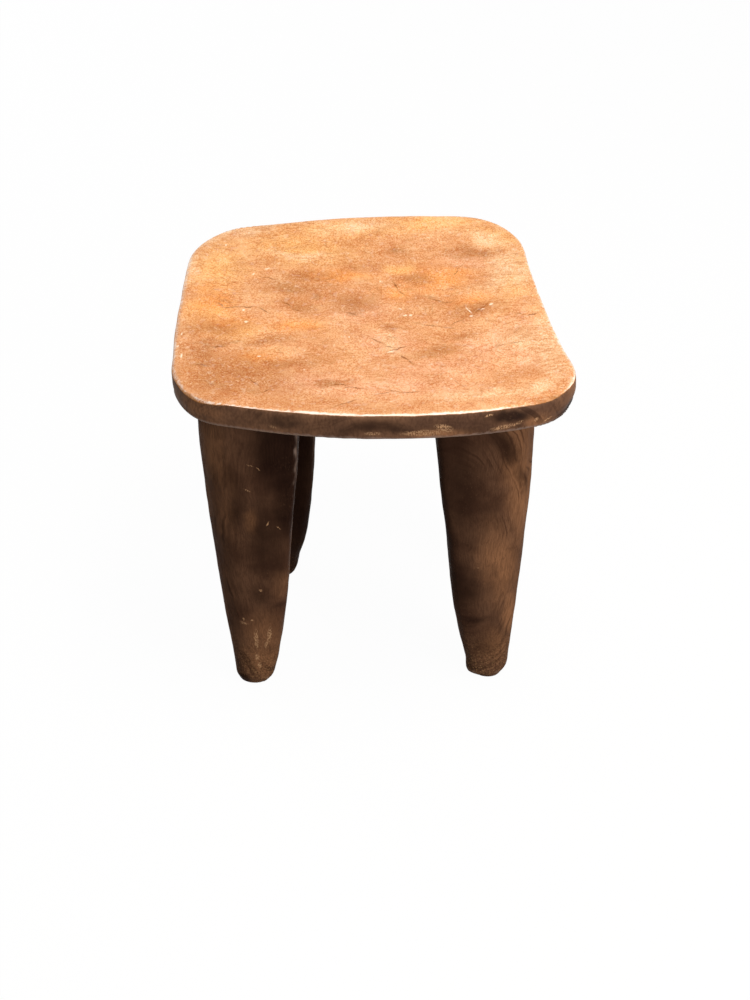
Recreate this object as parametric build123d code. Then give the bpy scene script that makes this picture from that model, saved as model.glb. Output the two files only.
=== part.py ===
from build123d import *
import math
import os

# A four-legged stool carved by hand from one block of dark wood: a dished seat on four tapered legs.
# Millimetres. +Z is up, the front of the stool faces -Y, and the origin is on the floor under the
# middle of the seat.

# Driving sizes
seat_width = 360
seat_depth = 345
stool_height = 372

# Seat
seat_edge_height = 26
seat_edge_undercut = 1.4
seat_edge_belly = 0.9
seat_dish_depth = 9
rim_land = 5.5
rim_round = 3.6
underside_round = 3
cutter_overrun = 5

# The seat's four corners before they are rounded, from front left round to back left. No side is
# parallel to another, because the block was squared by eye.
seat_corner_shares = [(-0.4965, -0.380), (0.5215, -0.428), (0.4045, 0.4605), (-0.4750, 0.4015)]
seat_side_bows = [33, -7, 19.5, 3.6]
seat_corner_rounds = [67, 47, 73, 69]
dish_shares = [0.32, 0.55, 0.78, 1]

# Legs: each tapers from a root under the seat to a rounded foot with a small worn flat.
leg_root_width = 92
leg_root_depth = 90
leg_foot_width = 33.5
leg_foot_depth = 34
leg_outer_round = 44
leg_inner_round = 9
leg_foot_corner_round = 13
foot_round = 10.5
leg_fullness = 1.4
leg_inner_belly = 4.5
belly_top_share = 0.57
shaft_height_shares = [0.1, 0.19, 0.28, 0.38, 0.49, 0.61, 0.74, 0.87, 1]
round_steps = 2

# The adze leaves a leg in flats, in this many steps round an arris and round the outer corner. A side
# has two, whose ridge stands out by a share of the side's length.
arris_steps = 3
outer_corner_steps = 8
outer_side_bow_share = 0.04
inner_side_bow_share = 0.015

# Each leg: the side of the stool that it stands on, the middle of its root and of its foot as shares
# of the seat's width and depth, its girth there as shares of the named widths and depths, and the
# round of its two side arrises. The carver left no two alike.
legs = {
    "front_left_leg": {
        "side": (-1, -1),
        "root_shares": (-0.3075, -0.288),
        "foot_shares": (-0.342, -0.255),
        "girth_shares": (1, 1),
        "arris_round": 3,
    },
    "front_right_leg": {
        "side": (1, -1),
        "root_shares": (0.279, -0.285),
        "foot_shares": (0.307, -0.248),
        "girth_shares": (0.99, 1.07),
        "arris_round": 8,
    },
    "back_left_leg": {
        "side": (-1, 1),
        "root_shares": (-0.255, 0.245),
        "foot_shares": (-0.279, 0.221),
        "girth_shares": (1, 1.05),
        "arris_round": 5,
    },
    "back_right_leg": {
        "side": (1, 1),
        "root_shares": (0.272, 0.245),
        "foot_shares": (0.296, 0.219),
        "girth_shares": (0.97, 1.03),
        "arris_round": 6,
    },
}

rim_height = stool_height
underside_height = stool_height - seat_edge_height


def hand_cut_outline(corners, bows, rounds, height):
    """A flat face with four bowed sides and four rounded corners, at a height.

    The corners run anticlockwise. A side's bow is how far its middle stands out from the straight
    line between its corners, and is negative where the side is hollow.
    """
    points = [Vector(x, y, height) for x, y in corners]
    sides = []
    for start, end, bow in zip(points, points[1:] + points[:1], bows):
        along = (end - start).normalized()
        outward = Vector(along.Y, -along.X, 0)
        sides.append(ThreePointArc(start, (start + end) / 2 + outward * bow, end))
    face = make_face(Curve(sides))
    for point, radius in zip(points, rounds):
        corner = face.vertices().sort_by_distance(point)[0]
        face = fillet(corner, radius)
    # Every outline starts on its first side, so that a loft joins like sides to like.
    edges = face.face().outer_wire().order_edges()
    first = edges.index(edges.sort_by_distance(sides[0] @ (1 / 2))[0])
    return make_face(Wire(edges[first:] + edges[:first]).edges())


def seat_outline(inset, height):
    """The seat seen from above, drawn in evenly by an inset, centred on the origin."""
    corners = [(x * seat_width, y * seat_depth) for x, y in seat_corner_shares]
    face = hand_cut_outline(corners, seat_side_bows, seat_corner_rounds, 0)
    middle = face.bounding_box().center()
    face = Pos(-middle.X, -middle.Y, 0) * face
    share = 1 - 2 * inset / seat_depth
    return Pos(0, 0, height) * face.scale(share)


def rounded_edge(radius):
    """Steps down a quarter round, each as how far it draws in and how far it lies below the top."""
    angles = [math.pi / 2 * step / round_steps for step in range(round_steps + 1)]
    return [(radius * (1 - math.sin(angle)), radius * (1 - math.cos(angle))) for angle in angles]


def dish_cutter():
    """The hollow of the seat: a shallow bowl that keeps the seat's own outline."""
    rim_share = 1 - 2 * rim_land / seat_depth
    sections = []
    for share in dish_shares:
        depth = seat_dish_depth * (1 - share**2)
        inset = (1 - share * rim_share) * seat_depth / 2
        sections.append(seat_outline(inset, rim_height - depth))
    return loft(sections, ruled=True) + extrude(sections[-1], cutter_overrun)


def make_seat():
    """The slab of the seat, with an undercut edge band, a worn rim and a dish."""
    sections = []
    for inset, rise in rounded_edge(underside_round):
        sections.append(seat_outline(seat_edge_undercut + inset, underside_height + rise))
    middle_inset = seat_edge_undercut / 2 - seat_edge_belly
    sections.append(seat_outline(middle_inset, underside_height + seat_edge_height / 2))
    for inset, drop in reversed(rounded_edge(rim_round)):
        sections.append(seat_outline(inset, rim_height - drop))
    return loft(sections, ruled=True) - dish_cutter()


def leg_ring(leg, height, inset):
    """The corners of a leg's cross-section at a height, drawn in by an inset.

    The leg is round towards the seat's corner and flatter towards the other legs, where it swells
    into a belly below the middle. Every cut keeps its direction all the way down, as the adze does.
    """
    side_x, side_y = leg["side"]
    root_girth, foot_girth = leg["girth_shares"]
    share = height / underside_height
    taper = 1 - (1 - share) ** leg_fullness
    belly = leg_inner_belly * math.sin(math.pi * min(1, share / belly_top_share))
    root_width, foot_width = leg_root_width * root_girth, leg_foot_width * foot_girth
    root_depth, foot_depth = leg_root_depth * root_girth, leg_foot_depth * foot_girth
    half_width = (foot_width + (root_width - foot_width) * taper + belly) / 2 - inset
    half_depth = (foot_depth + (root_depth - foot_depth) * taper + belly) / 2 - inset
    root_x, root_y = leg["root_shares"]
    foot_x, foot_y = leg["foot_shares"]
    middle_x = seat_width * (foot_x + (root_x - foot_x) * share) - side_x * belly / 2
    middle_y = seat_depth * (foot_y + (root_y - foot_y) * share) - side_y * belly / 2
    corners = []
    for quarter, (x, y) in enumerate([(1, 1), (-1, 1), (-1, -1), (1, -1)]):
        if (x, y) == (side_x, side_y):
            root_round, steps = leg_outer_round, outer_corner_steps
        elif (x, y) == (-side_x, -side_y):
            root_round, steps = leg_inner_round, arris_steps
        else:
            root_round, steps = leg["arris_round"], arris_steps
        radius = leg_foot_corner_round + (root_round - leg_foot_corner_round) * taper - inset
        middle = Vector(middle_x + x * (half_width - radius), middle_y + y * (half_depth - radius), height)
        turns = [90 * (quarter + cut / steps) for cut in range(steps + 1)]
        corners.append([middle + Vector(radius, 0, 0).rotate(Axis.Z, turn) for turn in turns])
    # Each side stands out in a low ridge along its middle.
    faces_out = [side_y > 0, side_x < 0, side_y < 0, side_x > 0]
    points = []
    for corner, following, out in zip(corners, corners[1:] + corners[:1], faces_out):
        side = following[0] - corner[-1]
        bow_share = outer_side_bow_share if out else inner_side_bow_share
        points += corner + [corner[-1] + side / 2 + Vector(side.Y, -side.X, 0) * bow_share]
    return points


def hewn(rings):
    """A solid cut in flats: one facet joins each side of a ring of points to the ring above it."""
    outlines = [rings[0], rings[-1]]
    for lower, upper in zip(rings, rings[1:]):
        outlines += zip(lower, lower[1:] + lower[:1], upper[1:] + upper[:1], upper)
    return Solid(Shell([make_face(Polyline(*outline, close=True)).face() for outline in outlines]))


def make_leg(leg):
    """One leg, from its worn foot up to the flat of its root under the seat."""
    rings = [leg_ring(leg, rise, inset) for inset, rise in rounded_edge(foot_round)]
    rings += [leg_ring(leg, share * underside_height, 0) for share in shaft_height_shares]
    return hewn(rings)


parts = {"seat": make_seat()}
for name, leg in legs.items():
    parts[name] = make_leg(leg)

os.makedirs("parts", exist_ok=True)
for name, part in parts.items():
    part.label = name
    export_step(part, f"parts/{name}.step")
    box = part.bounding_box()
    print(name, "from", box.min, "to", box.max)
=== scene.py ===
# %% [markdown]
# # A stool carved from one block
#
# The real stool was hewn with an adze from a single block of dense wood, smoothed with a knife, and then
# sat on for years. The CAD model gives its solids: one seat and four legs. This lesson keeps their sizes
# and gives them what a carver's hand and long use leave behind, which is softened arrises, shallow cuts,
# a top rubbed back to bare wood, and dark, handled sides.

# %% Load the solids as a fixed frame
import bmesh
import bpy
import math
import numpy as np
from mathutils import Matrix, Vector, noise


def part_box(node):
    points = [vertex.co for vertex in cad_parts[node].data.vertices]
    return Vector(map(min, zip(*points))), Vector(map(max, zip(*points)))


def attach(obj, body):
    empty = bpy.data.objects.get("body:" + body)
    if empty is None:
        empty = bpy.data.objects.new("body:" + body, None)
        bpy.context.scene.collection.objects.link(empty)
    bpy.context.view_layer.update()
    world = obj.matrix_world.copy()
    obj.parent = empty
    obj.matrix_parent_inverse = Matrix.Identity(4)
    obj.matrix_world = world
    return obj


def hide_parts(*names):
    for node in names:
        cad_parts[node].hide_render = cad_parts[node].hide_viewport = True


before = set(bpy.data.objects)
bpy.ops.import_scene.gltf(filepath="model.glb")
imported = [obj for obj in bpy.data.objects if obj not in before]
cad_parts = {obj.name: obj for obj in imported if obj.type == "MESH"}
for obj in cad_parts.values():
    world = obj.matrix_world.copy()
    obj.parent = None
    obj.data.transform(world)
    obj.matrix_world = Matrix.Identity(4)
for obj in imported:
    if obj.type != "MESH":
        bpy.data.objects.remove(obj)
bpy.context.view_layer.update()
scene = bpy.context.scene
for node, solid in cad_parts.items():
    print(node, "has", len(solid.data.polygons), "facets")

# %% [markdown]
# ## The camera
#
# The picture was taken by someone standing in front of the stool and looking down on it. One could place
# the camera by eye, but here its height and distance come from the seat and the feet: the rim's outline
# and the feet that show on the floor fix where it stood. It is a long lens that looks 38 degrees down and
# leans by one.

# %% Place the camera
millimetre = 0.001
stands_at = (0.0007, -1.5638, 1.3694)
look_down = math.radians(38)
lean = math.radians(-1.1)
camera = bpy.data.objects.new("camera", bpy.data.cameras.new("camera"))
camera.data.lens = 72
camera.data.sensor_width = 36
camera.matrix_world = (
    Matrix.Translation(stands_at)
    @ Matrix.Rotation(math.pi / 2 - look_down, 4, "X")
    @ Matrix.Rotation(lean, 4, "Z")
)
scene.collection.objects.link(camera)
scene.camera = camera
print("camera stands", round(camera.location.z, 2), "m high")

# %% [markdown]
# ## Tools for materials
#
# Every finish below is a small tree of nodes. Writing each node out takes many lines, so one function
# adds a node together with its settings and what feeds it. Colours are written as they look on a screen
# and turned into light values in one place.


# %% Add a node, and read a colour
def add(tree, kind, feeds=None, **settings):
    """Add a node. Each feed is a value, or another node's output, for the input of that name or number."""
    node = tree.nodes.new("ShaderNode" + kind)
    for name, value in settings.items():
        setattr(node, name, value)
    for key, value in (feeds or {}).items():
        if isinstance(value, bpy.types.NodeSocket):
            tree.links.new(value, node.inputs[key])
        else:
            node.inputs[key].default_value = value
    return node


def colour(code):
    """The linear colour of an sRGB hex code such as #a06030."""
    linear = []
    for place in (1, 3, 5):
        part = int(code[place:place + 2], 16) / 255
        linear.append(part / 12.92 if part <= 0.04045 else ((part + 0.055) / 1.055) ** 2.4)
    return (*linear, 1)


def new_material(name):
    """An empty material and its tree."""
    material = bpy.data.materials.new(name)
    material.use_nodes = True
    material.node_tree.nodes.clear()
    return material, material.node_tree


print("a mid grey is", [round(part, 3) for part in colour("#808080")[:3]])

# %% [markdown]
# ## The floor and the light
#
# The stool stands on a pale studio floor that fades into white. A white floor in the open would throw
# so much light up that the dark legs would look grey, so the floor is white only where the camera or a
# reflection looks at it, and lights the stool as a darker floor would.

# %% Lay the floor
def looked_at(tree):
    """1 where a ray comes from the camera or a reflection, and 0 where it only carries light."""
    path = add(tree, "LightPath")
    rays = {0: path.outputs["Is Camera Ray"], 1: path.outputs["Is Glossy Ray"]}
    return add(tree, "Math", rays, operation="MAXIMUM").outputs[0]


floor_reach = 6
share_of_white = 0.97
corners = [(x * floor_reach, y * floor_reach, 0) for x, y in ((-1, -1), (1, -1), (1, 1), (-1, 1))]
floor_mesh = bpy.data.meshes.new("floor")
floor_mesh.from_pydata(corners, [], [(0, 1, 2, 3)])
floor = bpy.data.objects.new("floor", floor_mesh)
scene.collection.objects.link(floor)

white_paint, tree = new_material("matt_white_floor")
seen = looked_at(tree)
paint = add(tree, "Mix", {0: seen, 6: colour("#8c8680"), 7: colour("#f4f4f4")}, data_type="RGBA")
lit = add(tree, "BsdfDiffuse", {"Color": paint.outputs[2]})
bare_white = add(tree, "Emission", {"Color": (1, 1, 1, 1), "Strength": 1.0})
whitened = add(tree, "Math", {0: seen, 1: share_of_white}, operation="MULTIPLY")
floor_look = add(tree, "MixShader", {0: whitened.outputs[0], 1: lit.outputs[0], 2: bare_white.outputs[0]})
add(tree, "OutputMaterial", {"Surface": floor_look.outputs[0]})
floor_mesh.materials.append(white_paint)
print("the floor is", 2 * floor_reach, "m across")

# %% [markdown]
# The photographer's light comes from above, a little to the right: the rim that faces the camera carries
# one long bright line, and the legs' fronts stay dark. One soft panel overhead does that, helped by a
# highlight painted into the rim's colour and by shade painted on the legs. Two wider panels, in front and
# behind, keep the legs readable from all sides, and the sky around fills the shadows.

# %% Hang the lights
def hang_panel(name, place, aim, size, watts, tint):
    """A square soft panel that hangs at a place and faces a point, in metres and watts."""
    panel = bpy.data.objects.new(name, bpy.data.lights.new(name, "AREA"))
    panel.data.size = size
    panel.data.energy = watts
    panel.data.color = colour(tint)[:3]
    panel.location = place
    panel.rotation_euler = (Vector(aim) - Vector(place)).to_track_quat("-Z", "Y").to_euler()
    scene.collection.objects.link(panel)
    return panel


# Each panel's name, place, aim, size, watts and tint
hang_panel("overhead_panel", (0.35, -0.35, 1.9), (0, 0, 0.34), 0.6, 19.5, "#fffaf2")
hang_panel("front_panel", (1.45, -1.55, 0.9), (0, 0, 0.2), 1.2, 33, "#fff4e8")
hang_panel("back_panel", (-1.3, 1.7, 1.1), (0, 0, 0.2), 1.2, 15, "#f4f6ff")

sky = bpy.data.worlds.new("sky")
sky.use_nodes = True
scene.world = sky
sky.node_tree.nodes.clear()
tree = sky.node_tree
sky_light = 0.34
sky_seen = 1.0
strength = add(tree, "MapRange", {"Value": looked_at(tree), "To Min": sky_light, "To Max": sky_seen})
dome = add(tree, "Background", {"Color": (1, 1, 1, 1), "Strength": strength.outputs[0]})
add(tree, "OutputWorld", {"Surface": dome.outputs[0]})
scene.view_settings.view_transform = "Standard"

# %% [markdown]
# ## Turning crisp solids into carved ones
#
# A carved block has no ruled edges. The solids could be bevelled, but a bevel is as even as a machine.
# Instead each solid is copied and rebuilt as a skin of small even squares, a remesh, whose points can
# then be moved one by one: relaxed to wear the arrises down, and pushed along their normals to cut the
# adze's shallow scoops.


# %% Copy a solid as a fine skin
def fine_skin(name, node, square, root_sunk=0):
    """A copy of a CAD node as a skin of even squares. Its top may be sunk upwards into the seat."""
    same_point = 0.01 * millimetre
    same_height = 0.5 * millimetre
    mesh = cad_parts[node].data.copy()
    shape = bmesh.new()
    shape.from_mesh(mesh)
    bmesh.ops.remove_doubles(shape, verts=shape.verts, dist=same_point)
    top = max(point.co.z for point in shape.verts)
    for point in shape.verts:
        if point.co.z > top - same_height:
            point.co.z += root_sunk
    shape.to_mesh(mesh)
    shape.free()
    piece = bpy.data.objects.new(name, mesh)
    scene.collection.objects.link(piece)
    remesh = piece.modifiers.new("remesh", "REMESH")
    remesh.mode = "VOXEL"
    remesh.voxel_size = square
    rebuilt = bpy.data.meshes.new_from_object(piece.evaluated_get(bpy.context.evaluated_depsgraph_get()))
    piece.modifiers.clear()
    piece.data = rebuilt
    rebuilt.name = name
    rebuilt.materials.clear()
    rebuilt.shade_smooth()
    print(name, "has", len(rebuilt.vertices), "points")
    return piece


def read_points(mesh, what="co"):
    """The mesh's points, or their normals, as an array of three columns."""
    source, key = (mesh.vertices, "co") if what == "co" else (mesh.vertex_normals, "vector")
    values = np.empty(len(mesh.vertices) * 3, np.float32)
    source.foreach_get(key, values)
    return values.reshape(-1, 3).astype(float)


def write_points(mesh, points):
    """Move the mesh's points."""
    mesh.vertices.foreach_set("co", points.astype(np.float32).ravel())
    mesh.update()


def read_edges(mesh):
    """The mesh's edges as pairs of point numbers."""
    pairs = np.empty(len(mesh.edges) * 2, np.int32)
    mesh.edges.foreach_get("vertices", pairs)
    return pairs.reshape(-1, 2)


def neighbours_middle(values, pairs):
    """For each point, the mean of a value over the points that it shares an edge with."""
    first, second = pairs.T
    count = len(values)
    shares = np.bincount(first, minlength=count) + np.bincount(second, minlength=count)
    columns = []
    for column in values.reshape(count, -1).T:
        total = np.bincount(first, column[second], count) + np.bincount(second, column[first], count)
        columns.append(total / np.maximum(shares, 1))
    return np.stack(columns, 1).reshape(values.shape)


def relax(points, pairs, rounds):
    """Wear the points smooth. A push out after each pull in keeps the piece from shrinking."""
    pull_in, push_out = 0.5, -0.52
    for _ in range(rounds):
        for step in (pull_in, push_out):
            points = points + step * (neighbours_middle(points, pairs) - points)
    return points


# %% [markdown]
# Two patterns shape the surface. Broad swells are the unevenness of a thing cut by eye. Scoops are the
# adze's own marks: shallow hollows side by side, with a low ridge where two meet.


# %% Swells and scoops
def swell(points, size, shift=0):
    """Broad unevenness between -1 and 1, about as wide as a size in millimetres."""
    scaled = points / (size * millimetre) + shift
    return np.array([noise.noise(Vector(point)) for point in scaled])


def scoops(points, size, stretch=(1, 1, 1), shift=0):
    """How deep each point lies in the adze's scoops: 0 on the ridges between them and 1 in the middle."""
    steepness = 1.6
    scaled = points / (np.array(stretch) * size * millimetre) + shift
    gaps = []
    for point in scaled:
        near = noise.voronoi(Vector(point))[0]
        gaps.append(near[1] - near[0])
    return np.clip(np.array(gaps) * steepness, 0, 1)


def smooth_step(values, low, high):
    """0 below low, 1 above high, and an even slope between."""
    share = np.clip((values - low) / (high - low), 0, 1)
    return share * share * (3 - 2 * share)


def keep_mask(mesh, name, values):
    """Store one number per point, for the material to read."""
    mask = mesh.attributes.new(name, "FLOAT", "POINT")
    mask.data.foreach_set("value", values.astype(np.float32))


# %% [markdown]
# ## The seat
#
# The seat is a slab with a shallow dish that starts at the rim. The front arris has been rubbed round by
# legs and hands. The dish of the solid is cut in three straight bands, so its points are relaxed until
# the joints between them are gone. Then come the small accidents: a chip in front, a nick, a few faint
# hollows, and an edge that stands out here and falls back there.

# %% Skin the seat and wear it down
seat_square = 1.5 * millimetre
wear_rounds = 2
dish_rounds = 200
halfway = 0.5
seat = fine_skin("carved_seat", "seat", seat_square)
seat_low, seat_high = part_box("seat")
points = read_points(seat.data)
pairs = read_edges(seat.data)
points = relax(points, pairs, wear_rounds)
normals = read_points(seat.data, "normal")
inward = 1 - np.max(np.abs(points[:, :2]) / np.array([seat_high.x, seat_high.y]), axis=1)
dished = smooth_step(normals[:, 2], 0.8, 0.95) * smooth_step(inward, 0.06, 0.16)
for _ in range(dish_rounds):
    points[:, 2] += halfway * dished * (neighbours_middle(points[:, 2], pairs) - points[:, 2])
write_points(seat.data, points)
print("dish is", round((seat_high.z - points[dished > 0.99, 2].min()) / millimetre, 1), "mm deep")

# %% Where the seat's chips and bulges lie
chips = [
    # x, y, half length, half width, depth and turn: millimetres and degrees
    (-27, -117, 13, 3.2, 0.7, 2),
    (92, -6, 3.5, 3, 0.8, 40),
    (-60, 20, 26, 14, 0.35, 20),
    (60, 40, 34, 18, 0.35, -30),
    (20, -60, 22, 15, 0.3, 60),
    (110, -95, 30, 12, 0.35, 15),
    (-120, -60, 24, 12, 0.35, 80),
]
edge_bulges = [
    # x, y, z, reach and height, in millimetres: where the hand-cut edge stands out or falls back
    (-152, -142, 359, 24, 1.8),
    (-181, -80, 359, 32, -1.3),
    (-126, 148, 359, 28, 1.5),
    (120, 158, 359, 28, 1.7),
    (158, -130, 344, 26, -3.4),
    (180, -98, 362, 22, 1.6),
]
print(len(chips), "hollows and", len(edge_bulges), "bulges")

# %% Cut the seat's marks
settle_rounds = 1
# Each push is in millimetres, out along the normals.
broad_swell = 0.35
fine_swell = 0.12
side_fullness = 0.2
side_scoop = 0.5
crisp_edge = 1.1
normals = read_points(seat.data, "normal")
facing_up = normals[:, 2]
on_side = 1 - smooth_step(np.abs(facing_up), 0.35, 0.8)
push = broad_swell * swell(points, 55) + fine_swell * swell(points, 14, 7)
push += on_side * (side_fullness - side_scoop * scoops(points, 30, (1.3, 1.3, 1), 3))
for x, y, half_length, half_width, depth, turn in chips:
    offset = points[:, :2] / millimetre - (x, y)
    along = np.array([math.cos(math.radians(turn)), math.sin(math.radians(turn))])
    across = np.array([-along[1], along[0]])
    away = np.hypot(offset @ along / half_length, offset @ across / half_width)
    push -= depth * np.exp(-away**2) * (facing_up > 0.5)
off_flats = 1 - smooth_step(np.abs(facing_up), 0.8, 0.97)
for x, y, z, reach, height in edge_bulges:
    away = np.linalg.norm(points / millimetre - (x, y, z), axis=1) / reach
    push += height * np.exp(-away**2) * off_flats
foot_of_edge = smooth_step(-facing_up, 0.05, 0.4) * (1 - smooth_step(-facing_up, 0.9, 0.99))
push += crisp_edge * foot_of_edge
points = points + normals * push[:, None] * millimetre
points = relax(points, pairs, settle_rounds)
points = np.clip(points, np.array(seat_low), np.array(seat_high))
write_points(seat.data, points)
print("seat is pushed by", round(push.min(), 2), "to", round(push.max(), 2), "mm")

# %% [markdown]
# The material needs four masks. An arris is where a point stands proud of its neighbours, and on the
# seat only the one at the foot of the edge is kept; its pale line is partly wear and partly a painted
# highlight. The top is what faces up. It wraps down over the left side, and over the right side towards
# the back, where hands have rubbed them, and it stops short of the edge in front, most of all at the right
# corner. The rim is the rounded crest between the top and the edge, worn most in front, where legs slide
# over it, and its pale colour is partly a painted highlight, strongest in front and on the right. The
# brink is a strip a finger wide on both sides of it. All are measured from the mesh and stored on it.


# %% Measure how proud each point stands
def proudness(mesh, pairs, rounds):
    """How far each point stands out from its neighbours, spread over a few squares: high on an arris."""
    points = read_points(mesh)
    normals = read_points(mesh, "normal")
    proud = np.einsum("ij,ij->i", points - neighbours_middle(points, pairs), normals) / millimetre
    for _ in range(rounds):
        proud = 0.4 * proud + 0.6 * neighbours_middle(proud, pairs)
    return proud


pride = proudness(seat.data, pairs, 1)
print("the proudest point stands out by", round(pride.max(), 2), "mm")

# %% Measure the top, the arris, the rim and the brink
# Heights and reaches are in millimetres here.
x, y, z = (points / millimetre).T
rim_height = seat_high.z / millimetre
underside_height = seat_low.z / millimetre
facing_up = read_points(seat.data, "normal")[:, 2]
off_top = 1 - smooth_step(facing_up, 0.9, 0.97)
in_front = smooth_step(-y, 110, 150)
at_left = smooth_step(-x, 110, 165)
at_right = smooth_step(x, 100, 150)
at_right_corner = smooth_step(x - 0.6 * y, 190, 245)
below_rim = (rim_height - z) / 14 * off_top
rubbed_over = 0.45 * at_right * (1 - in_front) + at_left * (0.45 + 0.3 * in_front)
rubbed_over -= 0.16 * in_front * (1 - at_left) + 0.32 * at_right_corner
keep_mask(seat.data, "top", smooth_step(facing_up - below_rim + rubbed_over, 0.1, 0.95))

# The foot of the edge is painted as a pale line, partly wear and partly a painted highlight.
at_foot = 1 - smooth_step(z, underside_height + 4, underside_height + 9)
keep_mask(seat.data, "arris", 0.6 * at_foot * smooth_step(pride, 0.05, 0.16))

rim = smooth_step(facing_up, 0.42, 0.66) * off_top * smooth_step(z, rim_height - 5, rim_height - 2.5)
rim = 0.7 * rim + 0.3 * neighbours_middle(rim, pairs)
# The rim's paleness is partly a painted highlight, so it is weighted to the front and the right, where the
# highlight falls.
keep_mask(seat.data, "rim", rim * np.maximum(0.3, np.maximum(in_front, 0.6 * at_right)))

brink = rim
brink_rounds = 12
brink_fade = 0.93
for _ in range(brink_rounds):
    brink = np.maximum(brink * brink_fade, neighbours_middle(brink, pairs))
keep_mask(seat.data, "brink", brink)
print("rim covers", round(100 * float(rim.mean()), 1), "percent of the skin")

# %% [markdown]
# ## The legs
#
# Each leg tapers to a rounded foot. The two faces that look at the other legs are nearly flat, and meet
# the outside in an arris that the knife left. All four are cut alike, and each gets its own swells and
# scoops because the noise is read at its own place.

# %% Where the legs' knobs lie
leg_knobs = [
    # x, y, z, reach, how much further it reaches upwards, and height, in millimetres: where a foot keeps
    # a heel or has lost one, and where a shaft is fuller or falls back
    (92, -98, 10, 9, 1, 3.4),
    (112, -106, 4, 14, 1, 2.4),
    (97, -98, 0, 7, 1, -1.6),
    (126, -98, 2, 9, 1, -2.4),
    (66, -120, 250, 40, 1.6, 1.2),
    (146, -120, 250, 40, 1.6, 1.4),
    (-100, -98, 26, 17, 2, 2),
    (-122, -104, 5, 18, 1, 2.6),
    (-155, -124, 290, 42, 1.6, 1.3),
    (-80, 62, 22, 20, 1, -2.2),
    (-96, 58, 4, 12, 1, 2.6),
    (126, 84, 40, 20, 2, 1.4),
]
print(len(leg_knobs), "knobs")

# %% Skin and carve the legs
leg_square = 1.6 * millimetre
leg_wear_rounds = 3
leg_broad_swell = 0.8
leg_fine_swell = 0.15
leg_scoop = 0.55
root_sunk = 5 * millimetre
legs = {}
for node in ("front_left_leg", "front_right_leg", "back_left_leg", "back_right_leg"):
    leg = fine_skin("carved_" + node, node, leg_square, root_sunk)
    points = read_points(leg.data)
    pairs = read_edges(leg.data)
    points = relax(points, pairs, leg_wear_rounds)
    write_points(leg.data, points)
    normals = read_points(leg.data, "normal")
    off_floor = smooth_step(points[:, 2] / millimetre, 1.5, 14)
    push = leg_broad_swell * swell(points * (1, 1, 0.6), 60) + leg_fine_swell * swell(points, 12, 5)
    push = (push - leg_scoop * scoops(points, 24, (1, 1, 2.6))) * off_floor
    for x, y, z, reach, upward, height in leg_knobs:
        away = np.linalg.norm((points / millimetre - (x, y, z)) / (reach, reach, reach * upward), axis=1)
        push += height * np.exp(-away**2)
    points = points + normals * push[:, None] * millimetre
    points = relax(points, pairs, settle_rounds)
    points[:, 2] = np.maximum(points[:, 2], 0)
    write_points(leg.data, points)
    keep_mask(leg.data, "arris", 0.6 * smooth_step(proudness(leg.data, pairs, 2), 0.07, 0.13))
    legs[node] = leg
print("legs carved:", len(legs))

# %% [markdown]
# ## Patterns of wood
#
# Wood shows three scales at once: clouds of colour a few fingers wide, fibres a millimetre or two across
# that run along the grain, and pores like pinpricks. On top of these come single marks that a person
# remembers: a drying check, a nick, a scuff. Clouds and fibres are noise. Real pores are a tenth of a
# millimetre wide and too fine to show, so they are drawn ten times as coarse. Marks are placed one by
# one, each as a ball or a long ellipse whose edge is roughened by bending the space that it is drawn in.


# %% Clouds and bent space
def clouds(tree, place, size, low, high, detail=3, stretch=(1, 1, 1), shift=0, most=1):
    """Soft patches about as wide as a size in millimetres: 0 outside them, and most in their middle."""
    scale = tuple(1 / (size * share) for share in stretch)
    spread = add(tree, "Mapping", {"Vector": place, "Location": (shift, -shift, shift / 2), "Scale": scale})
    cloud = add(tree, "TexNoise", {"Vector": spread.outputs[0], "Scale": 1, "Detail": detail})
    soft = {"Value": cloud.outputs[0], "From Min": low, "From Max": high, "To Max": most}
    return add(tree, "MapRange", soft, interpolation_type="SMOOTHSTEP").outputs[0]


def bent(tree, place, size, amount):
    """The same place, pushed about by up to an amount over a size, both in millimetres."""
    push = add(tree, "TexNoise", {"Vector": place, "Scale": 1 / size, "Detail": 2})
    centred = add(tree, "VectorMath", {0: push.outputs[1], 1: (0.5, 0.5, 0.5)}, operation="SUBTRACT")
    pushed = {0: centred.outputs[0], 1: (2 * amount, 2 * amount, 2 * amount), 2: place}
    return add(tree, "VectorMath", pushed, operation="MULTIPLY_ADD").outputs[0]


# %% Placed marks
def nearest_mark(tree, place, marks):
    """How deep each point lies in the nearest mark: 1 in its middle, and 0 from its edge outwards. Each
    mark is where it lies, its three half sizes, and its three turns in degrees."""
    nearest = None
    for middle, half_sizes, turns in marks:
        turned = tuple(math.radians(turn) for turn in turns)
        feeds = {"Vector": place, "Location": middle, "Rotation": turned, "Scale": half_sizes}
        local = add(tree, "Mapping", feeds, vector_type="TEXTURE")
        ball = add(tree, "TexGradient", {"Vector": local.outputs[0]}, gradient_type="SPHERICAL").outputs[1]
        if nearest is None:
            nearest = ball
        else:
            nearest = add(tree, "Math", {0: nearest, 1: ball}, operation="MAXIMUM").outputs[0]
    return nearest


def marked(tree, place, marks, full, most=1):
    """How strongly each point is marked: 0 at a mark's edge, rising to most where the point lies full
    deep in it. A greater depth makes a softer mark."""
    fade = {"Value": nearest_mark(tree, place, marks), "From Min": 0, "From Max": full, "To Max": most}
    return add(tree, "MapRange", fade, interpolation_type="SMOOTHSTEP").outputs[0]


# %% Lay one colour over another
def where_all(tree, *masks):
    """One mask that holds only where all the given ones do."""
    share = masks[0]
    for mask in masks[1:]:
        share = add(tree, "Math", {0: share, 1: mask}, operation="MULTIPLY").outputs[0]
    return share


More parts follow.
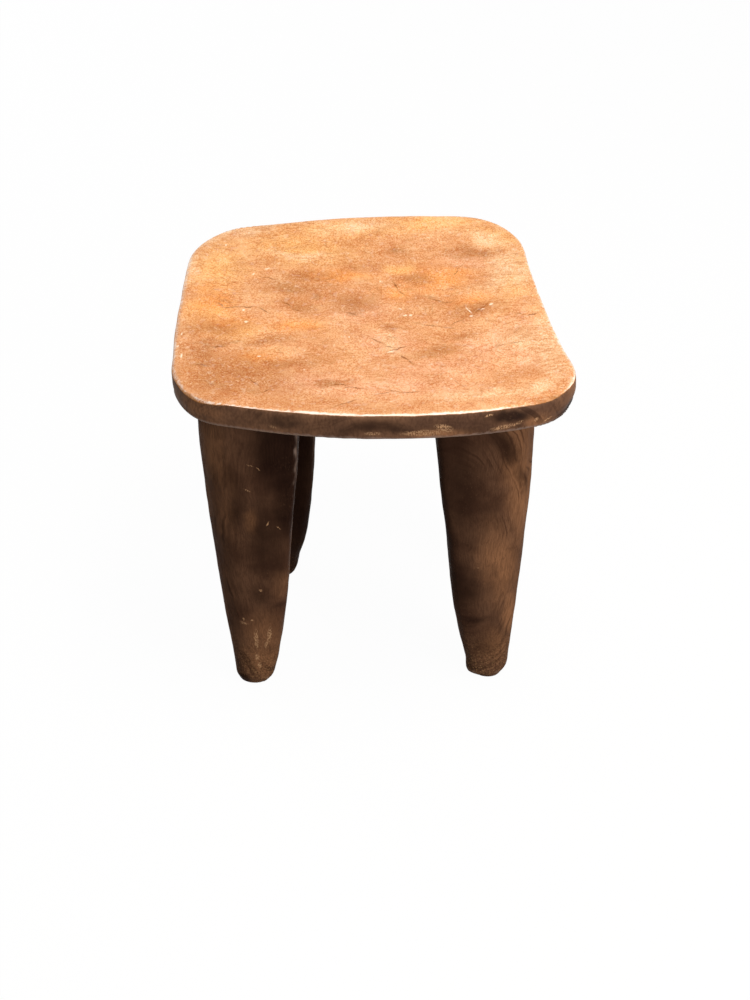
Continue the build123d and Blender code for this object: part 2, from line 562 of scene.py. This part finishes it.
def lay(tree, tone, code, *masks, way="MIX"):
    """A tone with a colour laid over it where all the masks hold."""
    # A Mix node keeps its two colours in the inputs numbered 6 and 7.
    layers = {0: where_all(tree, *masks), 6: tone, 7: colour(code)}
    return add(tree, "Mix", layers, data_type="RGBA", blend_type=way).outputs[2]


# %% [markdown]
# ### Dark handled wood
#
# The legs, the underside and the edge of the seat are the same wood, darkened by smoke, oil and hands
# over many years. It is chocolate brown, deepest where the heartwood shows and where shade is painted in
# down the front-right leg's left edge and over the back-left leg. It is warmer at the worn feet, and down
# the front legs' outer sides, where the warmth is painted side light. It is lighter on every arris and
# scuff, and the arrises carry a painted highlight as well as wear. The skin is closed, and dull satin
# rather than glossy. Wood is a dielectric with an IOR of about 1.5. A handled oil finish starts near a
# roughness of 0.45, and this one, long dry, is matched at about 0.6, with a gloss well below that of a
# smooth film.

# %% Where the legs' figure, painted shade and painted side light lie, in millimetres
# An eye is what the growth rings run round. The patches reach deep into a leg, as the figure of solid
# wood does, and the further a mark's middle lies off the surface, the fainter it shows.
def standing_marks(rows):
    """Marks from rows of x, y, z, the half sizes along each, and a turn about y in degrees."""
    return [((x, y, z), (wide, deep, high), (0, turn, 0)) for x, y, z, wide, deep, high, turn in rows]


leg_marks = {
    "eyes": standing_marks([
        (-70, -120, 240, 230, 400, 760, 4), (80, -125, 205, 136, 240, 368, -4),
        (-80, 80, 200, 136, 240, 440, 0), (108, 90, 230, 144, 240, 360, 8),
    ]),
    "dark": standing_marks([
        (-80, -139, 318, 50, 60, 66, 0), (-98, -163, 196, 44, 60, 112, 0),
        (-76, -156, 250, 34, 60, 130, 0), (-125, -170, 246, 20, 60, 80, 0),
        (-108, -158, 136, 22, 60, 28, 0), (-86, -159, 116, 18, 60, 11, 10),
        # The patch at (46, -125, 240) is shade painted down the front-right leg's left edge.
        (-134, -110, 8, 11, 60, 14, 0), (46, -125, 240, 38, 60, 230, -7),
        (72, -167, 262, 56, 60, 136, -7), (76, -146, 132, 34, 60, 90, -9),
        (122, -163, 306, 15, 60, 54, -32), (137, -154, 262, 9, 60, 42, -12),
        (92, -146, 91, 26, 60, 12, -8), (104, -150, 50, 20, 60, 36, 0),
        # The patch at (-84, 60, 190) is partly dark wood and partly shade painted over the whole back-left
        # leg.
        (-84, 60, 190, 40, 110, 340, 0), (106, 80, 262, 36, 70, 80, 0), (94, 60, 120, 14, 50, 66, 0),
    ]),
    "warm": standing_marks([
        # The first two lie down the front-left leg's left side, and are painted light from the left.
        (-145, -152, 306, 18, 60, 70, 0), (-146, -166, 210, 26, 60, 170, 6),
        (-113, -151, 229, 10, 60, 24, 0), (-90, -160, 142, 18, 60, 36, 0),
        (-108, -140, 68, 36, 60, 62, 0), (-114, -124, 36, 32, 60, 44, 0),
        # The patches at x 142 and 148 lie down the front-right leg's right side, and are painted side
        # light.
        (142, -134, 225, 27, 60, 190, -8), (132, -122, 84, 14, 60, 66, -8),
        (118, -140, 160, 30, 60, 90, -8), (148, -139, 310, 14, 60, 70, 0),
        (116, -134, 46, 30, 60, 50, 0), (-54, 50, 190, 11, 60, 220, 0), (122, 95, 165, 20, 60, 90, 0),
        (108, 100, 45, 24, 60, 40, 0), (-100, 110, 60, 24, 40, 50, 0),
    ]),
    "scuffs": standing_marks([
        (-117, -114, 70, 2.8, 9, 20, 2), (-104, -113, 76, 3, 9, 16, 8), (-108, -113, 60, 1.8, 9, 7, 8),
        (-118, -110, 42, 3, 9, 6, 3), (-116, -109, 30, 2.2, 9, 5, 3), (-128, -121, 92, 6, 9, 3, 20),
        (-110, -148.8, 300, 7, 10, 1.2, 24), (-103, -147.8, 296, 5, 10, 1.1, 46),
        (-114, -145, 270, 6, 10, 1.1, 30), (-98, -140.4, 228, 5, 10, 1.1, -62),
        (-88, -139.4, 222, 5, 10, 1.1, 50), (-109, -125, 139, 2.2, 8, 2.2, 0),
        (-128, -121, 98, 1.4, 8, 4, -12), (-120, -121, 96, 2.2, 8, 2.2, 0),
        (-143, -141, 318, 2.2, 9, 5, -14), (96, -120, 163, 2, 8, 2, 0), (-60, 90, 150, 8, 2, 9, 0),
        (140, 110, 190, 8, 1.6, 8, 0), (-132, 100, 120, 8, 1.6, 10, 0),
    ]),
}
print("marks on the legs:", {kind: len(marks) for kind, marks in leg_marks.items()})

# %% Where the figure of the seat's edge lies, in millimetres
edge_marks = {
    "eyes": standing_marks([
        (40, -260, 300, 900, 420, 420, 0), (-120, 260, 300, 900, 420, 420, 0),
    ]),
    "dark": standing_marks([
        (-88, -178, 361, 40, 30, 12, 0), (8, -182, 360, 48, 22, 12, 0), (118, -165, 362, 30, 26, 9, 0),
        (172, -131, 350, 24, 36, 9, 0), (-40, 170, 358, 60, 26, 12, 0), (178, -20, 360, 20, 40, 12, 0),
        # The last dark patch darkens the whole underside of the seat.
        (0, 0, 340, 130, 110, 12, 0),
    ]),
    "warm": standing_marks([
        (-158, -140, 360, 40, 50, 24, 0), (140, -150, 356, 20, 40, 12, 0),
        (184, -104, 366, 34, 56, 13, 0), (56, -170, 352, 46, 14, 9, 0), (-178, 60, 358, 20, 50, 14, 0),
        (120, 165, 358, 50, 20, 14, 0),
    ]),
    "scuffs": standing_marks([
        (44, -171, 353, 24, 14, 4.2, 0), (62, -171, 357, 11, 14, 5, 20), (0, -171, 353, 9, 14, 2.2, 0),
        (115, -164, 353, 17, 14, 3, -8), (127, -162, 356, 4, 12, 1.4, -20),
        (142, -156, 356, 2, 14, 3, 20), (152, -152, 353, 6, 14, 1.6, -20),
        (-87, -168, 354, 8, 14, 3.4, 14), (-134, -160, 352, 9, 14, 1.2, 10),
        (100, -168, 367, 5, 8, 1.4, -10), (-176, 40, 356, 8, 10, 2.4, 0), (162, 50, 354, 10, 14, 2, 0),
        (30, 170, 356, 15, 10, 2.4, 0),
    ]),
}
print("marks on the edge:", {kind: len(marks) for kind, marks in edge_marks.items()})


# %% Figure the dark wood
def figured_wood(tree, place, tones, grain, marks):
    """The dark wood as it grew, with painted shade and side light in some of its marks: its colour between
    two tones, its roughness and relief, and where it is darkest. The grain is how far its fibres stretch
    each way."""
    warped = bent(tree, place, 40, 8)
    growth = nearest_mark(tree, warped, marks["eyes"])
    rings_per_eye = 52
    ring_place = add(tree, "Math", {0: growth, 1: rings_per_eye}, operation="MULTIPLY").outputs[0]
    ring_feeds = {"W": ring_place, "Scale": 1, "Detail": 3, "Roughness": 0.6}
    rings = add(tree, "TexNoise", ring_feeds, noise_dimensions="1D").outputs[0]
    off_heart = add(tree, "MapRange", {"Value": growth, "From Min": 0.82, "From Max": 0.7}).outputs[0]
    ring_fade = {"Value": rings, "From Min": 0.45, "From Max": 0.66, "To Max": 0.6}
    ring_lines = add(tree, "MapRange", ring_fade, interpolation_type="SMOOTHSTEP").outputs[0]

    broad = clouds(tree, place, 45, 0.38, 0.62, detail=5)
    tone = lay(tree, colour(tones[0]), tones[1], broad)
    ruffled = bent(tree, warped, 9, 3)
    # Some warm marks are painted side light, not lighter wood.
    warm = marked(tree, ruffled, marks["warm"], 1, 0.9)
    warm_clouds = clouds(tree, place, 20, -0.05, 0.5, stretch=(1, 1, 2), shift=63)
    tone = lay(tree, tone, "#9c7050", warm, warm_clouds)
    # Some dark marks are painted shade, not heartwood.
    dark = marked(tree, ruffled, marks["dark"], 0.7, 0.88)
    dark_clouds = clouds(tree, place, 26, -0.2, 0.45, detail=4, stretch=(1, 1, 2), shift=9)
    tone = lay(tree, tone, "#130807", dark, dark_clouds)
    tone = lay(tree, tone, "#2e1c14", ring_lines, off_heart, clouds(tree, place, 36, 0.4, 0.6, shift=40))
    fibres = clouds(tree, bent(tree, place, 30, 5), 1.2, 0.36, 0.7, stretch=grain, most=0.4)
    tone = lay(tree, tone, "#36231a", fibres, clouds(tree, place, 25, 0.2, 0.5, shift=21))
    rough = add(tree, "MapRange", {"Value": broad, "To Min": 0.55, "To Max": 0.68}).outputs[0]
    relief = add(tree, "Math", {0: fibres, 1: -0.6, 2: rings}, operation="MULTIPLY_ADD").outputs[0]
    return tone, rough, relief, dark


# %% Wear the dark wood
def handled_wood(tree, place, tones, grain, marks):
    """The dark wood after years of use: its feet speckled, its arrises rubbed pale and painted with a
    highlight, scuffed and dusty.
    """
    tone, rough, relief, dark = figured_wood(tree, place, tones, grain, marks)
    height = add(tree, "SeparateXYZ", {0: place}).outputs[2]
    foot_fade = {"Value": height, "From Min": 90, "From Max": 16}
    foot = add(tree, "MapRange", foot_fade, interpolation_type="SMOOTHSTEP").outputs[0]
    dark_specks = clouds(tree, place, 1.6, 0.46, 0.66, detail=4, shift=15, most=0.6)
    tone = lay(tree, tone, "#2a1a10", foot, dark_specks)
    not_dark = add(tree, "Math", {0: 1, 1: dark}, operation="SUBTRACT").outputs[0]
    pale_specks = clouds(tree, place, 1.6, 0.5, 0.7, detail=4, shift=35, most=0.6)
    tone = lay(tree, tone, "#a07c58", foot, not_dark, pale_specks)
    # The pale arris line is partly wear and partly a painted highlight.
    arris = add(tree, "Attribute", attribute_name="arris").outputs["Fac"]
    rubbing_and_sheen = clouds(tree, place, 12, -0.1, 0.45, stretch=(1, 1, 5), shift=5, most=0.85)
    tone = lay(tree, tone, "#a08c82", arris, rubbing_and_sheen)
    scuffed = marked(tree, bent(tree, place, 4, 1.4), marks["scuffs"], 0.55, 0.95)
    torn_fibres = clouds(tree, place, 1, 0.42, 0.56, stretch=(1, 1, 1.8), shift=2)
    tone = lay(tree, tone, "#b8926f", scuffed, torn_fibres)
    dust = clouds(tree, place, 1.3, 0.58, 0.74, detail=4, stretch=(1, 1, 1.6), shift=77, most=0.22)
    tone = lay(tree, tone, "#7d6049", dust, clouds(tree, place, 32, 0.45, 0.65, shift=88))
    return tone, rough, relief


# %% Finish the legs
def in_millimetres(tree):
    """Where each point lies on the object, in millimetres."""
    spot = add(tree, "TexCoord").outputs["Object"]
    return add(tree, "VectorMath", {0: spot, "Scale": 1 / millimetre}, operation="SCALE").outputs[0]


def finish_wood(tree, tone, rough, relief, depth, gloss):
    """Lay a wood's colour, roughness and relief on the shader. The depth is in millimetres."""
    bump = add(tree, "Bump", {"Strength": 0.6, "Distance": depth * millimetre, "Height": relief})
    look = {"Base Color": tone, "Roughness": rough, "IOR": 1.5, "Specular IOR Level": gloss}
    shader = add(tree, "BsdfPrincipled", {**look, "Normal": bump.outputs[0]})
    add(tree, "OutputMaterial", {"Surface": shader.outputs[0]})


leg_tones = ("#4e3629", "#654938")
leg_grain = (1, 1, 26)
leg_wood, tree = new_material("dark_handled_wood")
tone, rough, relief = handled_wood(tree, in_millimetres(tree), leg_tones, leg_grain, leg_marks)
finish_wood(tree, tone, rough, relief, depth=0.5, gloss=0.01)
for leg in legs.values():
    leg.data.materials.append(leg_wood)
print(leg_wood.name, "has", len(tree.nodes), "nodes")

# %% [markdown]
# ### The worn top
#
# Sitting has rubbed the dark skin off the top and left bare golden wood, with a faint sheen where cloth
# polished it, which is partly painted as pale rosy patches on the right and in the middle. It is golden at
# the back and left, rosier in front, stained and smudged brown, crossed by fine dark drying checks that
# run in no single direction, and specked with pale nicks. The rim is paler and smoother still, its pale
# colour partly a painted highlight. Bare wood polished by use has a roughness near 0.5, and its rim near
# 0.26.

# %% Where the top's colours lie, in millimetres
# Every mark on the top is centred a little below the rim, and reaches well above and below the dish.
top_level = rim_height - 6
top_reach = 60


def flat_marks(rows, longer=1, wider=1):
    """Marks on the top, from rows of x, y, half length, half width and turn in degrees."""
    return [
        ((x, y, top_level), (length * longer, width * wider, top_reach), (0, 0, turn))
        for x, y, length, width, turn in rows
    ]


golden_patches = flat_marks([
    (-146, 80, 50, 80, -10), (-70, 116, 96, 48, -6), (-19, 148, 110, 26, 0), (60, 156, 100, 24, 0),
    (120, 128, 50, 30, -30), (140, 50, 30, 76, -14), (-150, 10, 40, 50, 0), (-130, -26, 50, 26, 0),
    (30, 80, 26, 16, 0), (150, -20, 22, 50, -16),
])
orange_patches = flat_marks([
    (-146, 24, 34, 44, 0), (-134, -14, 40, 26, 10), (-70, -14, 44, 24, 0), (68, 60, 50, 40, 0),
    (24, 40, 30, 26, 0), (96, 20, 36, 24, 0), (-30, 70, 60, 16, 0), (-100, -70, 40, 20, 10),
])
pale_patches = flat_marks([
    (-70, 104, 50, 12, -6), (-10, 150, 60, 18, 4), (114, 122, 40, 20, -34), (132, 80, 18, 44, -10),
    (-146, 140, 60, 12, 34), (-90, 158, 60, 12, 8), (-172, 84, 10, 40, 0), (162, -70, 22, 56, -12),
    (164, -104, 20, 26, 0), (146, -128, 34, 14, 34), (156, -50, 22, 70, -16), (96, -138, 80, 12, 6),
    (146, 60, 20, 50, -12), (136, -50, 40, 34, 0), (128, 66, 30, 60, -14), (14, -48, 12, 26, 20),
    (20, -38, 10, 20, 30), (-110, 146, 40, 12, 20),
])
# Some rosy patches, on the right and in the middle, are a painted sheen rather than the wood's colour.
rosy_and_sheen_patches = flat_marks([
    (24, -120, 100, 34, 0), (61, -90, 70, 34, 0), (134, -70, 44, 54, 0), (16, -44, 50, 36, 0),
    (-46, -112, 60, 30, 0), (-10, 6, 50, 30, 20), (92, 90, 40, 26, 0), (140, -40, 40, 70, -10),
    (110, -60, 50, 50, 0),
])
print("colour patches:", len(golden_patches + orange_patches + pale_patches + rosy_and_sheen_patches))

# %% Where the top's checks, stains and nicks lie, in millimetres
# The bent space thins a check and breaks it up, so each is drawn longer and wider than it shows.
checks = flat_marks([
    (-140, 17, 6, 0.6, -45), (-129, 13, 9, 0.7, 4), (-114, 15, 8, 0.7, 3), (-99, 10, 8, 0.7, -38),
    (-78, 21, 7, 0.6, -42), (-68, 12, 7, 0.6, -40), (-17, 4, 8, 0.8, -32), (24, 52, 9, 0.6, -72),
    (30, 38, 7, 0.6, -60), (62, 24, 8, 0.6, -30), (71, 19, 7, 0.5, 0), (80, -15, 10, 0.5, 40),
    (104, 6, 15, 0.7, 50), (138, -11, 7, 0.6, -30), (149, -13, 7, 0.6, 10), (5, -42, 9, 0.7, -44),
    (17, -52, 7, 0.7, -22), (27, -53, 7, 0.7, 14), (21, -57, 10, 0.6, 31), (29, -71, 7, 0.8, -44),
    (35, -79, 6, 0.8, -55), (119, -58, 7, 0.5, 10), (132, -56, 9, 0.5, 3), (-28, -116, 14, 0.7, 3),
    (-15, -122, 13, 0.6, -10), (-24, -149, 17, 0.6, 28), (-104, -111, 15, 0.5, -50),
    (-93, -126, 8, 0.6, 40), (17, -128, 11, 0.5, -20), (33, -131, 10, 0.5, 0), (8, -133, 11, 0.5, 17),
    (-152, -85, 9, 1.0, 4), (-139, -54, 10, 0.9, 12), (60, -20, 30, 0.4, -20), (84, 74, 14, 0.4, 60),
    (-96, 66, 12, 0.4, -20),
], longer=1.8, wider=2.5)
stains = flat_marks([
    (-118, -94, 100, 56, -20), (-136, -112, 50, 40, -20), (-146, -24, 60, 26, 10),
    (-134, -100, 56, 34, -14), (-150, -74, 26, 34, 0), (-74, 50, 46, 26, -10), (-97, -44, 40, 12, 15),
    (-148, -47, 30, 8, 12), (98, 101, 44, 16, -8), (26, 110, 20, 10, 0), (-14, 22, 40, 22, 10),
    (-60, 70, 40, 14, 0), (96, 4, 40, 18, 20), (84, -40, 24, 14, 0), (-37, -114, 30, 10, 5),
    (40, 60, 34, 14, 5), (-66, 20, 30, 14, -30), (60, -62, 40, 12, 10), (-80, -80, 50, 16, 0),
    (20, -20, 20, 10, 0),
])
smudges = flat_marks([
    (-78, 50, 20, 14, -30), (-14, 4, 12, 8, 20), (-143, -52, 22, 5, 10), (-152, -82, 16, 8, 0),
    (104, 101, 20, 8, -12), (26, 109, 10, 7, 0), (99, 0, 9, 5, 30), (-36, -115, 14, 4, 2),
    (-120, -44, 18, 4, 15), (-140, -112, 18, 8, -20), (20, -38, 7, 4, 0), (56, 30, 12, 7, 0),
    (-106, -126, 14, 6, -8), (-50, 36, 12, 7, 20),
])
nicks = flat_marks([
    (-118, 9, 3, 1.6, 60), (-115, -11, 2.6, 2.2, 40), (-113, -31, 1.8, 1.2, 0),
    (-111, 72, 2.4, 1.5, 60), (-98, 82, 4, 1.2, 30), (-139, 121, 1.8, 1.8, 0),
    (-101, -67, 2.4, 1.8, 0), (32, 0, 3, 2, 30), (37, 0, 2.4, 2, 0), (28, 11, 2.5, 1.2, -30),
    (91, 3, 9, 0.7, -65), (93, -6, 2.6, 1.8, 30), (112, 10, 3.5, 2.2, 60), (104, 3, 2.6, 1.4, 10),
    (-172, -36, 3, 1.2, 80), (-170, -72, 5, 1.4, 86), (-174, -56, 3, 1, 80), (-60, -90, 1.4, 1.0, 0),
    (18, -60, 6, 1.5, 20), (10, 60, 1.5, 1.2, 0), (-20, -35, 1.4, 1.2, 0), (70, -110, 1.6, 1.2, 0),
])
print("checks:", len(checks), "stains and smudges:", len(stains + smudges), "nicks:", len(nicks))


# %% Colour the bare wood
def bare_wood(tree, place, warped, ruffled):
    """The colour of the rubbed wood before use has marked it: patches by place, some of them a painted
    sheen, and a mottle over all.
    """
    tone = lay(tree, colour("#e4aa7b"), "#eeb788", clouds(tree, place, 60, 0.4, 0.62))
    tone = lay(tree, tone, "#fcc886", marked(tree, ruffled, golden_patches, 1))
    tone = lay(tree, tone, "#f6ab64", marked(tree, ruffled, orange_patches, 1))
    tone = lay(tree, tone, "#f4bd98", marked(tree, ruffled, rosy_and_sheen_patches, 1))
    tone = lay(tree, tone, "#ffdcb4", marked(tree, ruffled, pale_patches, 1, 0.9))
    spread = add(tree, "Mapping", {"Vector": warped, "Scale": (1 / 40, 1 / 24, 1 / 24)}).outputs[0]
    mottle = add(tree, "TexNoise", {"Vector": spread, "Scale": 1, "Detail": 7, "Roughness": 0.6}).outputs[0]
    low_fade = {"Value": mottle, "From Min": 0.52, "From Max": 0.3, "To Max": 0.5}
    tone = lay(tree, tone, "#cc8c58", add(tree, "MapRange", low_fade).outputs[0])
    high_fade = {"Value": mottle, "From Min": 0.52, "From Max": 0.72, "To Max": 0.45}
    return lay(tree, tone, "#ffd6a6", add(tree, "MapRange", high_fade).outputs[0])


# %% Stain and crease it
def used_wood(tree, place, warped, ruffled, tone):
    """The bare wood stained and smudged, with grime along its fibres and fine creases, and its relief."""
    stained = marked(tree, ruffled, stains, 1, 0.8)
    tone = lay(tree, tone, "#bd814f", stained, clouds(tree, place, 14, 0.1, 0.5, detail=5, shift=29))
    smudged = marked(tree, bent(tree, place, 12, 8), smudges, 1, 0.52)
    tone = lay(tree, tone, "#a67a51", smudged, clouds(tree, place, 7, 0.25, 0.6, detail=4, shift=44))
    streaks = clouds(tree, warped, 1.8, 0.4, 0.68, stretch=(9, 1, 1), most=0.7)
    tone = lay(tree, tone, "#d2935a", streaks, clouds(tree, place, 30, 0.35, 0.6, shift=12))
    grit = clouds(tree, place, 1.15, 0.4, 0.64, detail=2, stretch=(1.2, 1.4, 1), shift=3)
    tone = lay(tree, tone, "#eacaab", grit, clouds(tree, place, 20, 0.1, 0.5, shift=70), way="MULTIPLY")
    flecks = clouds(tree, place, 1.6, 0.55, 0.68, detail=2, stretch=(1.2, 1.4, 1), shift=90, most=0.4)
    tone = lay(tree, tone, "#ffdfb8", flecks, clouds(tree, place, 24, 0.35, 0.6, shift=51))
    crinkled = bent(tree, bent(tree, place, 14, 5), 3, 1.1)
    cells = add(tree, "TexVoronoi", {"Vector": crinkled, "Scale": 1 / 24}, feature="DISTANCE_TO_EDGE")
    crease_fade = {"Value": cells.outputs[0], "From Min": 0.026, "From Max": 0.0, "To Max": 0.36}
    creases = add(tree, "MapRange", crease_fade).outputs[0]
    tone = lay(tree, tone, "#a86e3f", creases, clouds(tree, place, 16, 0.5, 0.62, shift=36))
    crinkle = add(tree, "TexNoise", {"Vector": place, "Scale": 1 / 7, "Detail": 3, "Roughness": 0.6})
    on_fold = add(tree, "Math", {0: crinkle.outputs[0], 1: 0.5, 2: 0.035}, operation="COMPARE").outputs[0]
    folds = where_all(tree, on_fold, clouds(tree, place, 18, 0.4, 0.6, shift=92, most=0.46))
    tone = lay(tree, tone, "#e2b58c", folds, way="MULTIPLY")
    raised = where_all(tree, grit, streaks)
    relief = add(tree, "Math", {0: folds, 1: -0.8, 2: raised}, operation="MULTIPLY_ADD").outputs[0]
    return tone, relief


# %% Crack it and nick it
def cracked_wood(tree, place, tone):
    """The bare wood with drying checks, each a dark core in a softer shade, and with pale nicks."""
    depth = nearest_mark(tree, bent(tree, bent(tree, place, 8, 3), 2.2, 1.1), checks)
    shade_fade = {"Value": depth, "From Min": 0, "From Max": 0.7, "To Max": 0.35}
    shade = add(tree, "MapRange", shade_fade, interpolation_type="SMOOTHSTEP").outputs[0]
    tone = lay(tree, tone, "#b5763f", shade)
    core_fade = {"Value": depth, "From Min": 0.5, "From Max": 0.85, "To Max": 0.85}
    core = add(tree, "MapRange", core_fade, interpolation_type="SMOOTHSTEP").outputs[0]
    tone = lay(tree, tone, "#8a4a1e", core, clouds(tree, place, 4, 0.25, 0.5, shift=8))
    return lay(tree, tone, "#fde8cc", marked(tree, bent(tree, place, 2.2, 1.3), nicks, 0.8, 0.9))


# %% Rub its rim pale, and paint its highlight
def rubbed_and_highlit_rim(tree, place, tone):
    """The bare wood with a paler brink and a rim that is palest of all, partly as a painted highlight, and
    its roughness.
    """
    brink = add(tree, "Attribute", attribute_name="brink").outputs["Fac"]
    rubbed_brink = where_all(tree, brink, clouds(tree, place, 26, 0.35, 0.6, shift=61))
    pale_clouds = clouds(tree, place, 9, 0.3, 0.7, detail=4, shift=66, most=0.55)
    tone = lay(tree, tone, "#fbd2a6", rubbed_brink, pale_clouds)
    pale_specks = clouds(tree, place, 1.7, 0.54, 0.62, detail=2, shift=47)
    tone = lay(tree, tone, "#ffe8d0", rubbed_brink, pale_specks)
    rim = add(tree, "Attribute", attribute_name="rim").outputs["Fac"]
    rim_cloud = clouds(tree, place, 5, 0.3, 0.7, detail=4, shift=19)
    rim_share = add(tree, "Math", {0: rim_cloud, 1: 0.5, 2: rim}, operation="MULTIPLY_ADD").outputs[0]
    rim_fade = {"Value": rim_share, "From Min": 0.4, "From Max": 1.0, "To Max": 0.95}
    # The palest rim colour and its white flecks are partly wear and partly a painted highlight.
    tone = lay(tree, tone, "#fdeadb", add(tree, "MapRange", rim_fade).outputs[0])
    rim_flecks = clouds(tree, place, 2.2, 0.46, 0.64, detail=2, stretch=(2.5, 1, 1), shift=33, most=0.6)
    tone = lay(tree, tone, "#fff6ee", rim, rim_flecks)
    rough = add(tree, "MapRange", {"Value": rim, "To Min": 0.5, "To Max": 0.26}).outputs[0]
    return tone, rough


def worn_top(tree, place):
    """The colour, roughness and relief of the bare wood on top."""
    warped = bent(tree, place, 50, 12)
    ruffled = bent(tree, place, 22, 14)
    tone = bare_wood(tree, place, warped, ruffled)
    tone, relief = used_wood(tree, place, warped, ruffled, tone)
    tone = cracked_wood(tree, place, tone)
    tone, rough = rubbed_and_highlit_rim(tree, place, tone)
    return tone, rough, relief


# %% [markdown]
# On the seat both finishes meet at the rim. Where one ends is a mask from the mesh, frayed by noise so
# that the dark skin is rubbed away unevenly. Each finish could be its own material on its own faces, but
# that would leave a stepped edge, so the two are mixed in one material.

# %% Mix the seat's material
edge_tones = ("#5d4334", "#775742")
edge_grain = (1.6, 1.6, 4)
seat_wood, tree = new_material("worn_seat_wood")
place = in_millimetres(tree)
top = add(tree, "Attribute", attribute_name="top").outputs["Fac"]
fray = add(tree, "TexNoise", {"Vector": place, "Scale": 1 / 7, "Detail": 8, "Roughness": 0.66})
frayed = add(tree, "Math", {0: fray.outputs[0], 1: 0.5, 2: top}, operation="MULTIPLY_ADD").outputs[0]
bare_fade = {"Value": frayed, "From Min": 0.62, "From Max": 0.86}
bare = add(tree, "MapRange", bare_fade, interpolation_type="SMOOTHSTEP").outputs[0]
dark_tone, dark_rough, dark_relief = handled_wood(tree, place, edge_tones, edge_grain, edge_marks)
top_tone, top_rough, top_relief = worn_top(tree, place)
# Between the two finishes lies a strip where the dark skin has only worn thin.
half_bare_fade = {"Value": frayed, "From Min": 0.4, "From Max": 0.72, "To Max": 0.85}
half_bare = add(tree, "MapRange", half_bare_fade, interpolation_type="SMOOTHSTEP").outputs[0]
half_tone = lay(tree, dark_tone, "#a9713f", half_bare)
tone = add(tree, "Mix", {0: bare, 6: half_tone, 7: top_tone}, data_type="RGBA").outputs[2]
rough = add(tree, "Mix", {0: bare, 2: dark_rough, 3: top_rough}).outputs[0]
relief = add(tree, "Mix", {0: bare, 2: dark_relief, 3: top_relief}).outputs[0]
finish_wood(tree, tone, rough, relief, depth=0.35, gloss=0.06)
seat.data.materials.append(seat_wood)
print(seat_wood.name, "has", len(tree.nodes), "nodes")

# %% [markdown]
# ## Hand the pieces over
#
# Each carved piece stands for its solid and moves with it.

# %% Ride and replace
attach(seat, "root")
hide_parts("seat")
for node, leg in legs.items():
    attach(leg, "root")
    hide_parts(node)
